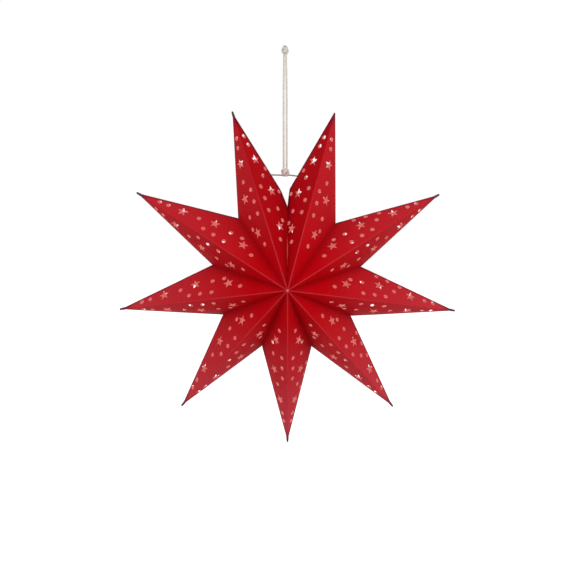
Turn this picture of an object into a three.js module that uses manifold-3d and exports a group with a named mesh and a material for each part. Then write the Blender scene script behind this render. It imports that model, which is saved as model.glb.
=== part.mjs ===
import * as THREE from 'three';
import { mergeVertices } from 'three/addons/utils/BufferGeometryUtils.js';
import Module from 'manifold-3d';

// A folding paper star that hangs from a cord loop.
// Millimetres, +Z up, the front of the star faces -Y, the origin is where the loop hangs.
// In the star's own group the origin is its centre, and angles run clockwise from the top.

// Star body
const POINT_RADIUS = 226;
const FIRST_POINT_RADIUS = 224;
const LAST_POINT_RADIUS = 228.5;
const BEAK_OVERHANG = 1.5;
const NOTCH_RADIUS = 98;
const HALF_DEPTH = 78;
const PAPER_THICKNESS = 0.4;
const CREASE_GAP = 0.3;
const POINT_ANGLES = [15.6, 60.5, 101, 141, 180, 219.3, 259.5, 300.2, 342];
const VALLEY_ANGLES = [40.3, 80.4, 120.8, 160.7, 200.5, 240.5, 280.7, 321.4];
const NOTCH_REACH_SHARES = [0.99, 1, 1, 0.995, 0.995, 1.005, 1.025, 1.05];
const EVEN_HALF_ANGLE = 20;
const FULL_TURN = 360;

// Open seam at the top, between the last point and the first
const LEFT_SEAM_NOTCH_RADIUS = 103.3;
const RIGHT_SEAM_NOTCH_RADIUS = 114;
const LEFT_SEAM_CORNER_SHARE = 0.863;
const RIGHT_SEAM_CORNER_SHARE = 0.952;
const LEFT_SEAM_FOOT_SHARE = 0.918;
const RIGHT_SEAM_FOOT_SHARE = 0.838;

// Punched pattern, as shares of an even facet: towards the tip, towards the notch.
// The first sheet's sits nearer the hub. Behind, each sheet's is a little off, in the same two ways.
const DOT_RADIUS = 2.9;
const DOT_SIDES = 6;
const STAR_RADIUS = 7.5;
const STAR_WAIST_SHARE = 0.4;
const STAR_ARMS = 5;
const FIRST_PATTERN_SHIFT = 4;
const BACK_PATTERN_SHIFTS = [
  [0, -3], [-1.5, 1.5], [0, 1.5], [0, 2], [-3, 0],
  [0, 2], [-1.5, 2], [-3, 0], [1.5, -3],
];
const FRONT_OUTLINE_DOT_POINTS = 5;
const DOT_PLACE_SHARES = [
  [0.146, 0.286],
  [0.124, 0.552],
  [0.356, 0.193],
  [0.214, 0.502],
  [0.427, 0.187],
  [0.5, 0.173],
  [0.477, 0.346],
  [0.734, 0.185],
  [0.81, 0.13],
];
const OUTLINE_DOT_PLACE_SHARES = [
  [0.2, 0.74],
  [0.314, 0.632],
  [0.446, 0.5],
];
const STAR_PLACE_SHARES = [
  [0.165, 0.4],
  [0.333, 0.465],
  [0.616, 0.256],
];

// Flat glued end of each point
const BEAK_LAYERS = 4;
const BEAK_ROOT_WIDTH = 3.2;
const BEAK_END_WIDTH = 2.2;

// Hanger wire, its heights above the centre of the star
const WIRE_DIAMETER = 1.7;
const WIRE_SIDES = 8;
const WIRE_KNOT_HEIGHT = 136.2;
const LEFT_WIRE_HEIGHT = 136.7;
const RIGHT_WIRE_HEIGHT = 133.8;
const WIRE_HOOK_REACH = 9;
const WIRE_HOOK_DROP = 8;
const WIRE_BEND_RADIUS = 2;
const WIRE_STEPS = 40;
const WIRE_CLEARANCE = 0.3;
const WIRE_EYE_RADIUS = 2.7;

// Cord loop and its two knots
const CORD_DIAMETER = 2.5;
const CORD_SIDES = 8;
const CORD_STEPS = 26;
const CORD_FACE_GAP = 0.3;
const LOOP_LENGTH = 143.6;
const STRAND_SPREAD = 3.8;
const STRAND_PINCH = 2.8;
const SPREAD_PLACE_SHARES = [1, 0.66, 0.33];
const PINCH_PLACE_SHARES = [0.06, 0];
const LOWER_KNOT_DIAMETER = 11;
const LOWER_KNOT_HEIGHT = 10.4;
const LOWER_KNOT_FOOT = 1.8;
const UPPER_KNOT_DIAMETER = 9.4;
const UPPER_KNOT_HEIGHT = 10.8;
const KNOT_FACE_DIAMETER = 7;
const KNOT_SIDES = 16;
const KNOT_RINGS = 8;
const STAR_SIDE_OFFSET = 3;

// How far a cutter runs past the sheet it cuts
const CUT_OVERRUN = 2;

const wasm = await Module();
wasm.setup();

// Materials

function redPaper() {
  return new THREE.MeshStandardMaterial({ color: 0xb5121f, roughness: 0.72, metalness: 0 });
}

function gluedPaperEdge() {
  return new THREE.MeshStandardMaterial({ color: 0x5e1018, roughness: 0.8, metalness: 0 });
}

function steelWire() {
  return new THREE.MeshStandardMaterial({ color: 0x8d857c, roughness: 0.45, metalness: 0.9 });
}

function cottonCord() {
  return new THREE.MeshStandardMaterial({ color: 0xd8cfc6, roughness: 0.9, metalness: 0 });
}

// Solids and meshes

function toSolid(geometry) {
  const plain = geometry.clone();
  plain.deleteAttribute('normal');
  plain.deleteAttribute('uv');
  const merged = mergeVertices(plain);
  const corners = Array.from(merged.index.array);
  const triangles = [];
  for (let i = 0; i < corners.length; i += 3) {
    const [a, b, c] = corners.slice(i, i + 3);
    if (a !== b && b !== c && c !== a) triangles.push(a, b, c);
  }
  const vertProperties = merged.attributes.position.array;
  const triVerts = new Uint32Array(triangles);
  return new wasm.Manifold(new wasm.Mesh({ numProp: 3, vertProperties, triVerts }));
}

function toGeometry(solid) {
  const cut = solid.getMesh();
  const geometry = new THREE.BufferGeometry();
  geometry.setAttribute('position', new THREE.BufferAttribute(cut.vertProperties, 3));
  geometry.setIndex(new THREE.BufferAttribute(cut.triVerts, 1));
  geometry.computeVertexNormals();
  return geometry;
}

function namedMesh(name, solid, material) {
  const mesh = new THREE.Mesh(toGeometry(solid), material);
  mesh.name = name;
  return mesh;
}

// A flat sheet of the given outline, centred on its own plane
function flatSheet(corners, thickness) {
  const geometry = new THREE.ExtrudeGeometry(new THREE.Shape(corners), {
    depth: thickness,
    bevelEnabled: false,
  });
  geometry.translate(0, 0, -thickness / 2);
  return toSolid(geometry);
}

// Corners of a regular outline; a waist share makes it a star with that many arms
function ringCorners(centre, radius, count, waistShare = 0) {
  const steps = waistShare ? count * 2 : count;
  const corners = [];
  for (let i = 0; i < steps; i += 1) {
    const angle = (i * 2 * Math.PI) / steps;
    const reach = waistShare && i % 2 ? radius * waistShare : radius;
    const corner = new THREE.Vector2(reach * Math.cos(angle), reach * Math.sin(angle));
    corners.push(corner.add(centre));
  }
  return corners;
}

// A closed tube of even section along a path
function tubeAlong(path, diameter, sides, steps) {
  const section = new THREE.Shape(ringCorners(new THREE.Vector2(), diameter / 2, sides));
  const options = { steps, bevelEnabled: false, extrudePath: path };
  return toSolid(new THREE.ExtrudeGeometry(section, options));
}

// A path of straight runs whose corners are rounded to the bend radius
function roundedPath(points, bendRadius) {
  const path = new THREE.CurvePath();
  let start = points[0];
  for (let i = 1; i < points.length - 1; i += 1) {
    const corner = points[i];
    const back = points[i - 1].clone().sub(corner).setLength(bendRadius);
    const ahead = points[i + 1].clone().sub(corner).setLength(bendRadius);
    const bendStart = corner.clone().add(back);
    const bendEnd = corner.clone().add(ahead);
    path.add(new THREE.LineCurve3(start, bendStart));
    path.add(new THREE.QuadraticBezierCurve3(bendStart, corner, bendEnd));
    start = bendEnd;
  }
  path.add(new THREE.LineCurve3(start, points[points.length - 1]));
  return path;
}

// Places in the star

function outwards(degrees) {
  const angle = THREE.MathUtils.degToRad(degrees);
  return new THREE.Vector3(Math.sin(angle), 0, Math.cos(angle));
}

function sideways(degrees) {
  const angle = THREE.MathUtils.degToRad(degrees);
  return new THREE.Vector3(Math.cos(angle), 0, -Math.sin(angle));
}

// Where the folds of a point would meet: its glued beak runs on past that
function foldTipRadius(pointRadius) {
  return pointRadius - BEAK_OVERHANG;
}

// A facet is the triangle between the hub, the tip of the fold and the notch.
// Its own plane has u along the ridge from the hub and v towards the notch.
function facetFrame(hub, tip, notch) {
  const alongRidge = tip.clone().sub(hub).normalize();
  const toNotch = notch.clone().sub(hub);
  const across = toNotch.clone().addScaledVector(alongRidge, -toNotch.dot(alongRidge)).normalize();
  const normal = alongRidge.clone().cross(across);
  const flat = (place) => {
    const reach = place.clone().sub(hub);
    return new THREE.Vector2(reach.dot(alongRidge), reach.dot(across));
  };
  return { hub, alongRidge, across, normal, flat };
}

// The sheet every point is punched from has even halves, so its pattern sits at the
// same places in every facet, however far that facet has opened
function evenFacetPlace([towardsTip, towardsNotch]) {
  const hub = new THREE.Vector3(0, -HALF_DEPTH, 0);
  const tip = outwards(0).multiplyScalar(foldTipRadius(POINT_RADIUS));
  const notch = outwards(EVEN_HALF_ANGLE).multiplyScalar(NOTCH_RADIUS);
  const { flat } = facetFrame(hub, tip, notch);
  return flat(tip).multiplyScalar(towardsTip).add(flat(notch).multiplyScalar(towardsNotch));
}

// How far a panel stops short of a crease, so that it clears its mirror image there
function creaseInset(normal, mirrorNormal) {
  const leanCosine = Math.abs(normal.dot(mirrorNormal));
  const leanSine = Math.sqrt(1 - leanCosine * leanCosine);
  return (CREASE_GAP / 2 + (PAPER_THICKNESS / 2) * leanCosine) / leanSine;
}

// Moves each edge of an anticlockwise outline inwards by its own inset
function insetOutline(corners, insets) {
  return corners.map((corner, i) => {
    const last = (i + corners.length - 1) % corners.length;
    const next = (i + 1) % corners.length;
    const arriving = corner.clone().sub(corners[last]).normalize();
    const leaving = corners[next].clone().sub(corner).normalize();
    const turn = arriving.cross(leaving);
    const moved = corner.clone().addScaledVector(leaving, insets[last] / turn);
    return moved.addScaledVector(arriving, -insets[i] / turn);
  });
}

// Half of a point, from its ridge to the valley that it shares with a neighbour
function pointHalf(index, side) {
  const last = POINT_ANGLES.length - 1;
  const ridgeAngle = POINT_ANGLES[index];
  const endRadii = { 0: FIRST_POINT_RADIUS, [last]: LAST_POINT_RADIUS };
  const pointRadius = endRadii[index] ?? POINT_RADIUS;
  if (side === 'left' && index === 0) {
    return {
      ridgeAngle,
      pointRadius,
      valleyAngle: 0,
      notchRadius: RIGHT_SEAM_NOTCH_RADIUS,
      cornerShare: RIGHT_SEAM_CORNER_SHARE,
      footShare: RIGHT_SEAM_FOOT_SHARE,
      wireHeight: RIGHT_WIRE_HEIGHT,
    };
  }
  if (side === 'right' && index === last) {
    return {
      ridgeAngle,
      pointRadius,
      valleyAngle: FULL_TURN,
      notchRadius: LEFT_SEAM_NOTCH_RADIUS,
      cornerShare: LEFT_SEAM_CORNER_SHARE,
      footShare: LEFT_SEAM_FOOT_SHARE,
      wireHeight: LEFT_WIRE_HEIGHT,
    };
  }
  const valley = side === 'left' ? index - 1 : index;
  const notchRadius = NOTCH_RADIUS * NOTCH_REACH_SHARES[valley];
  return { ridgeAngle, pointRadius, valleyAngle: VALLEY_ANGLES[valley], notchRadius };
}

function foldTip(half) {
  return outwards(half.ridgeAngle).multiplyScalar(foldTipRadius(half.pointRadius));
}

function notchPoint(half) {
  return outwards(half.valleyAngle).multiplyScalar(half.notchRadius);
}

// Where the hanger wire goes through the outline fold of a seam-side half, in an eye
function wireCrossing(half) {
  const tip = foldTip(half);
  const notch = notchPoint(half);
  const share = (tip.z - half.wireHeight) / (tip.z - notch.z);
  return tip.lerp(notch, share);
}

// Paper panels

function panelOutline(frame, half) {
  const tip = frame.flat(foldTip(half));
  const notch = frame.flat(notchPoint(half));
  const hub = frame.flat(frame.hub);
  const ridgeInset = creaseInset(frame.normal, sideways(half.ridgeAngle));
  const valleyInset = creaseInset(frame.normal, sideways(half.valleyAngle));
  const outlineInset = creaseInset(frame.normal, new THREE.Vector3(0, 1, 0));
  if (!half.cornerShare) {
    return insetOutline([hub, tip, notch], [ridgeInset, outlineInset, valleyInset]);
  }
  const corner = tip.clone().lerp(notch, half.cornerShare);
  const foot = hub.clone().lerp(notch, half.footShare);
  return insetOutline([hub, tip, corner, foot], [ridgeInset, outlineInset, 0, valleyInset]);
}

// The three dots beside the outline fold are in front on the left halves of the points
// down to the lowest, and behind on all other halves. At the open seam both halves have
// them in front, and the middle one gives way to the wire's eye.
function outlineDots(half, index, side, depthSign) {
  const frontHalf = side === 'left' && index < FRONT_OUTLINE_DOT_POINTS;
  const inFront = frontHalf || Boolean(half.wireHeight);
  if (inFront !== depthSign < 0) return [];
  const [footDot, middleDot, tipDot] = OUTLINE_DOT_PLACE_SHARES.map(evenFacetPlace);
  return half.wireHeight ? [footDot, tipDot] : [footDot, middleDot, tipDot];
}

function punchedOutlines(frame, half, index, side, depthSign) {
  const [tipward, notchward] = depthSign > 0 ? BACK_PATTERN_SHIFTS[index] : [0, 0];
  const hubward = index === 0 ? FIRST_PATTERN_SHIFT : 0;
  const shift = new THREE.Vector2(tipward - hubward, notchward);
  const dots = [...DOT_PLACE_SHARES.map(evenFacetPlace), ...outlineDots(half, index, side, depthSign)];
  const stars = STAR_PLACE_SHARES.map(evenFacetPlace);
  const eyes = half.wireHeight ? [frame.flat(wireCrossing(half))] : [];
  return [
    ...dots.map((place) => ringCorners(place.add(shift), DOT_RADIUS, DOT_SIDES)),
    ...stars.map((place) => ringCorners(place.add(shift), STAR_RADIUS, STAR_ARMS, STAR_WAIST_SHARE)),
    ...eyes.map((centre) => ringCorners(centre, WIRE_EYE_RADIUS, DOT_SIDES)),
  ];
}

function paperPanel(name, index, side, depthSign) {
  const half = pointHalf(index, side);
  const hub = new THREE.Vector3(0, depthSign * HALF_DEPTH, 0);
  const frame = facetFrame(hub, foldTip(half), notchPoint(half));
  let sheet = flatSheet(panelOutline(frame, half), PAPER_THICKNESS);
  for (const outline of punchedOutlines(frame, half, index, side, depthSign)) {
    sheet = sheet.subtract(flatSheet(outline, PAPER_THICKNESS + CUT_OVERRUN));
  }
  const panel = namedMesh(name, sheet, redPaper());
  const axes = new THREE.Matrix4().makeBasis(frame.alongRidge, frame.across, frame.normal);
  panel.quaternion.setFromRotationMatrix(axes);
  panel.position.copy(hub);
  return panel;
}

// The layers run together at the tip into a narrow flat beak that lies in the ridge plane
function pointBeak(name, index) {
  const half = pointHalf(index, index === 0 ? 'right' : 'left');
  const hub = new THREE.Vector3(0, -HALF_DEPTH, 0);
  const frame = facetFrame(hub, foldTip(half), notchPoint(half));
  const panelTip = panelOutline(frame, half)[1];
  const ridgeDirection = outwards(half.ridgeAngle);
  const panelReach = panelTip.x * frame.alongRidge.dot(ridgeDirection)
    + panelTip.y * frame.across.dot(ridgeDirection);
  const start = panelReach + CREASE_GAP;
  const outline = [
    new THREE.Vector2(start, -BEAK_ROOT_WIDTH / 2),
    new THREE.Vector2(half.pointRadius, -BEAK_END_WIDTH / 2),
    new THREE.Vector2(half.pointRadius, BEAK_END_WIDTH / 2),
    new THREE.Vector2(start, BEAK_ROOT_WIDTH / 2),
  ];
  const beak = namedMesh(name, flatSheet(outline, BEAK_LAYERS * PAPER_THICKNESS), gluedPaperEdge());
  const backwards = new THREE.Vector3(0, 1, 0);
  const acrossPoint = ridgeDirection.clone().cross(backwards);
  const axes = new THREE.Matrix4().makeBasis(ridgeDirection, backwards, acrossPoint);
  beak.quaternion.setFromRotationMatrix(axes);
  return beak;
}

function starPoint(index) {
  const point = new THREE.Group();
  const name = `point_${index + 1}`;
  for (const side of ['left', 'right']) {
    point.add(paperPanel(`${name}_front_${side}`, index, side, -1));
    point.add(paperPanel(`${name}_back_${side}`, index, side, 1));
  }
  point.add(pointBeak(`${name}_beak`, index));
  return point;
}

// Hanger wire: straight through the knot, then to an eye on each side and a hook inside it

function wirePath() {
  const leftEye = wireCrossing(pointHalf(POINT_ANGLES.length - 1, 'right'));
  const rightEye = wireCrossing(pointHalf(0, 'left'));
  const knot = new THREE.Vector3(-STAR_SIDE_OFFSET, 0, WIRE_KNOT_HEIGHT);
  const knotReach = new THREE.Vector3(LOWER_KNOT_DIAMETER / 2 + WIRE_CLEARANCE, 0, 0);
  const hookReach = new THREE.Vector3(WIRE_HOOK_REACH, 0, 0);
  const hookDrop = new THREE.Vector3(0, 0, WIRE_HOOK_DROP);
  const leftBend = leftEye.clone().sub(hookReach);
  const rightBend = rightEye.clone().add(hookReach);
  const points = [
    leftBend.clone().sub(hookDrop),
    leftBend,
    knot.clone().sub(knotReach),
    knot.clone().add(knotReach),
    rightBend,
    rightBend.clone().sub(hookDrop),
  ];
  return roundedPath(points, WIRE_BEND_RADIUS);
}

function hangerWire() {
  const rod = tubeAlong(wirePath(), WIRE_DIAMETER, WIRE_SIDES, WIRE_STEPS);
  return namedMesh('hanger_wire', rod, steelWire());
}

function starGroup() {
  const star = new THREE.Group();
  POINT_ANGLES.forEach((angle, index) => star.add(starPoint(index)));
  star.add(hangerWire());
  return star;
}

// Cord loop

// A knot pulled tight: a round body with a small flat face at each end
function knotBody(diameter, height) {
  const faceRadius = KNOT_FACE_DIAMETER / 2;
  const profile = [new THREE.Vector2(0, 0)];
  for (let i = 0; i <= KNOT_RINGS; i += 1) {
    const turn = (Math.PI * i) / KNOT_RINGS;
    const radius = faceRadius + (diameter / 2 - faceRadius) * Math.sin(turn);
    profile.push(new THREE.Vector2(radius, (height * (1 - Math.cos(turn))) / 2));
  }
  profile.push(new THREE.Vector2(0, height));
  const body = new THREE.LatheGeometry(profile, KNOT_SIDES);
  body.rotateX(Math.PI / 2);
  return body;
}

function upperKnot() {
  return namedMesh('upper_knot', toSolid(knotBody(UPPER_KNOT_DIAMETER, UPPER_KNOT_HEIGHT)), cottonCord());
}

// The lower knot is tied round the wire, which turns in it
function lowerKnot() {
  const body = knotBody(LOWER_KNOT_DIAMETER, LOWER_KNOT_HEIGHT);
  body.translate(0, 0, -LOWER_KNOT_FOOT);
  const reach = LOWER_KNOT_DIAMETER / 2 + CUT_OVERRUN;
  const wireLine = new THREE.LineCurve3(new THREE.Vector3(-reach, 0, 0), new THREE.Vector3(reach, 0, 0));
  const bore = tubeAlong(wireLine, WIRE_DIAMETER + 2 * WIRE_CLEARANCE, WIRE_SIDES, 1);
  const knot = namedMesh('lower_knot', toSolid(body).subtract(bore), cottonCord());
  knot.position.z = -LOOP_LENGTH - LOWER_KNOT_HEIGHT + LOWER_KNOT_FOOT;
  return knot;
}

// One of the two strands between the knots; they draw together under the upper knot
function cordStrand(name, sideSign) {
  const strandLength = LOOP_LENGTH - 2 * CORD_FACE_GAP;
  const place = (spread, share) => {
    return new THREE.Vector3((sideSign * spread) / 2, 0, -CORD_FACE_GAP - share * strandLength);
  };
  const points = [
    ...SPREAD_PLACE_SHARES.map((share) => place(STRAND_SPREAD, share)),
    ...PINCH_PLACE_SHARES.map((share) => place(STRAND_PINCH, share)),
  ];
  const path = new THREE.CatmullRomCurve3(points, false, 'centripetal');
  return namedMesh(name, tubeAlong(path, CORD_DIAMETER, CORD_SIDES, CORD_STEPS), cottonCord());
}

const lantern = new THREE.Group();
lantern.add(upperKnot());
lantern.add(cordStrand('cord_strand_left', -1));
lantern.add(cordStrand('cord_strand_right', 1));
lantern.add(lowerKnot());

const star = starGroup();
star.position.x = STAR_SIDE_OFFSET;
star.position.z = -LOOP_LENGTH - LOWER_KNOT_HEIGHT + LOWER_KNOT_FOOT - WIRE_KNOT_HEIGHT;
lantern.add(star);

export default lantern;
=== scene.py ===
"""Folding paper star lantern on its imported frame.

Metres, +Z up. The front of the star faces -Y and the origin is where the cord loop hangs.
Angles in the star run clockwise from the top, as seen from the front.
"""

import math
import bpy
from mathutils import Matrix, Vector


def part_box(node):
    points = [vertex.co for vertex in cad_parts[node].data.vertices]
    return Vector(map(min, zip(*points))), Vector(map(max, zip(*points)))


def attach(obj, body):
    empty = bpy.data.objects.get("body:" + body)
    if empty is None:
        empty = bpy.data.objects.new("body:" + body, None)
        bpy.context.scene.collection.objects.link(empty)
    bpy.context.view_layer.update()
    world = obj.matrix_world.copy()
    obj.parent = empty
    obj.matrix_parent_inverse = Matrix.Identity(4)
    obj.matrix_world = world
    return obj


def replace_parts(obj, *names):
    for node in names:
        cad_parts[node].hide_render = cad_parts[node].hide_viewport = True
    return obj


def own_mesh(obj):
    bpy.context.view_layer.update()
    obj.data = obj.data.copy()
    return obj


bl_info = {
    "name": "Paper Star Lantern",
    "version": (1, 0, 0),
    "blender": (4, 5, 0),
    "location": "View3D > Sidebar > Paper Star",
    "description": "Folding star of punched card with its hanger wire and knotted cord loop",
    "category": "Object",
}

import bmesh
import bpy
import numpy as np
from bpy.props import FloatProperty, FloatVectorProperty, PointerProperty
from mathutils.geometry import delaunay_2d_cdt

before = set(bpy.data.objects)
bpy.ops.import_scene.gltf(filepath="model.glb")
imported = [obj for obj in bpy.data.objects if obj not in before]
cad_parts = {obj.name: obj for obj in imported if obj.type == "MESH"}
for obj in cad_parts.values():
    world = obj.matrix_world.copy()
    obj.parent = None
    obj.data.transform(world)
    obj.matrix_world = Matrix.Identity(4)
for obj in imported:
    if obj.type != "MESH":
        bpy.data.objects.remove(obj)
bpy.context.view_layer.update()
UPPER_KNOT_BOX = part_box("upper_knot")
LOWER_KNOT_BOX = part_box("lower_knot")

# The star's layout, the same as in the solids
POINT_ANGLES = (15.6, 60.5, 101, 141, 180, 219.3, 259.5, 300.2, 342)
VALLEY_ANGLES = (40.3, 80.4, 120.8, 160.7, 200.5, 240.5, 280.7, 321.4)
NOTCH_REACHES = (0.99, 1, 1, 0.995, 0.995, 1.005, 1.025, 1.05)
EVEN_HALF_ANGLE = 20
SEAM = {
    "left": {"notch": 0.1033, "corner": 0.863, "foot": 0.918, "wire": 0.1367},
    "right": {"notch": 0.114, "corner": 0.952, "foot": 0.838, "wire": 0.1338},
}

# Punched pattern, as shares of an even facet: towards the tip, towards the notch
DOT_PLACES = ((0.146, 0.286), (0.124, 0.552), (0.356, 0.193), (0.214, 0.502), (0.427, 0.187),
              (0.5, 0.173), (0.477, 0.346), (0.734, 0.185), (0.81, 0.13))
OUTLINE_DOT_PLACES = ((0.2, 0.74), (0.314, 0.632), (0.446, 0.5))
STAR_PLACES = ((0.165, 0.4), (0.333, 0.465), (0.616, 0.256))
FRONT_OUTLINE_DOT_POINTS = 5

# How far the pattern behind is off on each sheet: towards the tip, towards the notch
BACK_PATTERN_SHIFTS_MM = ((0, -3), (-1.5, 1.5), (0, 1.5), (0, 2), (-3, 0), (0, 2), (-1.5, 2),
                          (-3, 0), (1.5, -3))

FRONT = -1
BACK = 1
MM = 1000

# Where a card ends before its folds meet, and before the end of the first glued end
CARD_CUT = 0.0016
FIRST_CARD_CUT = 0.0008

# A facet's edge: its step, the bulge of its folds, the overlap of two glued faces, and the
# stretch of the seam, as shares from hub to notch, in which the slit gapes
EDGE_STEP = 0.004
FOLD_BULGE = 0.0001
GLUE_OVERLAP = 0.00003
SLIT_START = 0.2
SLIT_SPAN = 0.45

# A facet's filling: rows beside the creases as shares of their radius, the grid, and how far
# points keep off the creases, holes, valley and mouth
CREASE_ROWS = (0.25, 0.5, 0.75, 1.0)
GRID_STEP = 0.006
GRID_ROW = GRID_STEP * 0.866
GRID_PAST_CREASE = 0.0015
RING_ROUND_HOLE = 0.0009
HOLE_TO_ROW = 0.0004
HOLE_TO_GRID = 0.0022
VALLEY_TO_POINT = 0.0008
MOUTH_TO_POINT = 0.0012
SAME_PLACE = 1e-7
LEAST_DOUBLE_AREA = 1e-9

# A facet in space: where its swell begins beside the valley, how deep the creases are drawn as
# shares of their radius, and where they begin beside each other
SWELL_FADE = 0.025
RIDGE_DRAW = 0.39
FOLD_DRAW = 0.29
CREASE_FADE = 0.003
CARD_WELD = 2e-5
CARD_SHARP_ANGLE = 38

# Marks on the card: where its painted sheen, a paler red that stands in for the room light
# reflected by the outer and lower card, grows outwards and downwards, how much of that a seam
# sheet has and how much painted shade it gets, where the ridge's line fades, and the weaker
# line at the mouth
SHEEN_START = 0.045
SHEEN_SPAN = 0.16
SHEEN_AT_CENTRE = 0.65
SHEEN_PER_DROP = 1.9
SHEEN_LEAST = 0.3
SEAM_LESS_SHEEN = 0.7
SEAM_SHADE = 0.3
RIDGE_LINE_END = 0.08
RIDGE_LINE_FADE = 10
MOUTH_LINE = 0.6
# Painted shade at the tips: where it begins and where it is full, in millimetres from the hub
TIP_SHADE_MM = (206.0, 226.0)

# Glued ends: the powers of their profile in depth and across, their gap to the ridges, how
# their end is rounded, how thin they start and get, and how far the card's red runs on
BEAK_POWERS = (0.8, 0.55)
BEAK_GAP = 0.0002
BEAK_ROUND_START = 0.93
BEAK_ROUND_SPAN = 0.07
BEAK_ROUND_LEAST = 0.02
BEAK_THIN_SPAN = 0.3
BEAK_THIN_START = 0.2
BEAK_THINNING = 0.45
BEAK_RED = 0.4
BEAK_RED_FADE = 3.0

# Knots: the width that their ring is given for, how far the two cords lie from the middle
# line round its section, the dip between their pressed plies, and how much shorter, wider and
# more pointed the core is
KNOT_WIDTH = 0.011
KNOT_OFFSET = 0.42
KNOT_PLY_DIP = 0.05
CORE_SHORTER = 1.2
CORE_WIDER = 0.0004
CORE_TAPER = 0.85

# Cut ends: distance from the middle at their foot, at the knot's top and at their tip, and
# how far the left and the right one stay under the top
CUT_END_SPREAD = (0.0008, 0.0011, 0.0012)
CUT_END_SHORT = (0.0001, 0.0006)

# Tubes and cords
CARD_UV = 10
TUBE_UV = 100
END_SHRINK = 0.6
PLY_DIP = 0.11
CORD_SMOOTH_ANGLE = 70
SIDEWAYS = np.array([1.0, 0.0, 0.0])
DEPTHWAYS = np.array([0.0, 1.0, 0.0])

# Lamps: name, place, size and power
LAMPS = (
    ("lamp_above", (0.1, -1.1, 0.8), 1.1, 7.5),
    ("lamp_left", (-1.5, -1.1, -0.2), 1.0, 7.0),
    ("lamp_right", (1.5, -1.0, 0.0), 1.0, 10.0),
)
WARM_WHITE = (1.0, 0.985, 0.97, 1.0)
FLOOR_GLOW = 0.86
FLOOR_HALF = 6.0


# Sizes and colours


def length(name, description, default):
    return FloatProperty(name=name, description=description, default=default, min=0.0,
                         precision=5, unit="LENGTH")


def portion(name, description, default):
    return FloatProperty(name=name, description=description, default=default, min=0.0, max=1.0)


def colour(name, description, default):
    return FloatVectorProperty(name=name, description=description, default=default, size=3,
                               min=0.0, max=1.0, subtype="COLOR")


class StarSizes(bpy.types.PropertyGroup):
    centre: FloatVectorProperty(name="Centre", description="Centre of the star",
                                default=(0.003, 0.0, -0.2884), subtype="XYZ", unit="LENGTH")
    tip: length("Tip", "Radius of the glued ends of the points", 0.226)
    first_tip: length("First tip", "Radius of the glued end right of the seam", 0.224)
    first_fold_tip: length("First fold tip", "Where the folds of that point would meet", 0.2265)
    last_tip: length("Last tip", "Radius of the glued end left of the seam", 0.2285)
    overhang: length("Overhang", "How far a glued end runs past where the folds meet", 0.0015)
    notch: length("Notch", "Radius of the notches between the points", 0.098)
    half_depth: length("Half depth", "From the middle of the star to its front hub", 0.078)
    thickness: length("Card", "Thickness of the card", 0.0004)
    crease: length("Crease", "Radius over which a crease is rounded", 0.001)
    bow: length("Bow", "How far a facet may bow out of flat", 0.0011)
    swell: portion("Swell", "How far a facet swells beside its outline fold, as a share of its "
                   "width there", 0.04)
    first_shift: length("First pattern", "How much nearer the hub the first pattern sits", 0.004)
    folded: portion("Folded share", "How thick a folded point still is, as a share of its width "
                    "at rest", 0.025)
    hub: length("Hub opening", "From the hub to the cut corners of the card", 0.0017)
    slit: length("Slit", "How far the open seam gapes beside the hub", 0.0015)
    dot: length("Dot", "Radius of a punched dot", 0.0029)
    star: length("Small star", "Outer radius of a punched star", 0.0075)
    star_waist: portion("Star waist", "Inner radius of a punched star, as a share", 0.41)
    beak: length("Glued end", "Length of the glued end that shows at a tip", 0.0095)
    beak_width: length("Glued end width", "Depth of a glued end where it leaves the folds", 0.0032)
    beak_end_width: length("Glued end tip", "Depth of a glued end at its tip", 0.0022)
    beak_thickness: length("Glued end thickness", "Thickness of the glued layers", 0.0041)
    first_beak_thickness: length("First thickness", "Thickness of the first glued end", 0.003)


class WireSizes(bpy.types.PropertyGroup):
    diameter: length("Diameter", "Thickness of the hanger wire", 0.0017)
    knot_height: length("Height at the knot", "Wire above the centre of the star", 0.1362)
    straight: length("Straight run", "Half of the straight run through the knot", 0.0058)
    hook_reach: length("Hook reach", "How far the wire runs on inside a point", 0.009)
    hook_drop: length("Hook drop", "How far its end is bent down", 0.008)
    bend: length("Bend radius", "Rounding of the bends", 0.002)
    eye: length("Eye", "Radius of the holes that the wire runs through", 0.0016)


class CordSizes(bpy.types.PropertyGroup):
    diameter: length("Diameter", "Thickness of one strand", 0.0025)
    loop: length("Loop", "Length between the two knots", 0.1436)
    face_gap: length("Face gap", "Where a strand starts off a knot's face", 0.0003)
    spread: length("Spread", "Distance between the strands", 0.0038)
    pinch: length("Pinch", "Distance between the strands under the upper knot", 0.0028)
    ply_pitch: length("Ply pitch", "Length of one turn of the plies", 0.0062)
    knot_ring: length("Knot ring", "Radius of the ring that a knot winds round", 0.0021)
    knot_turn: length("Knot turn", "Radius of the pressed cord in a knot", 0.0017)
    cut_end: length("Cut end", "How far the cut ends stand above the upper knot", 0.0017)


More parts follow.
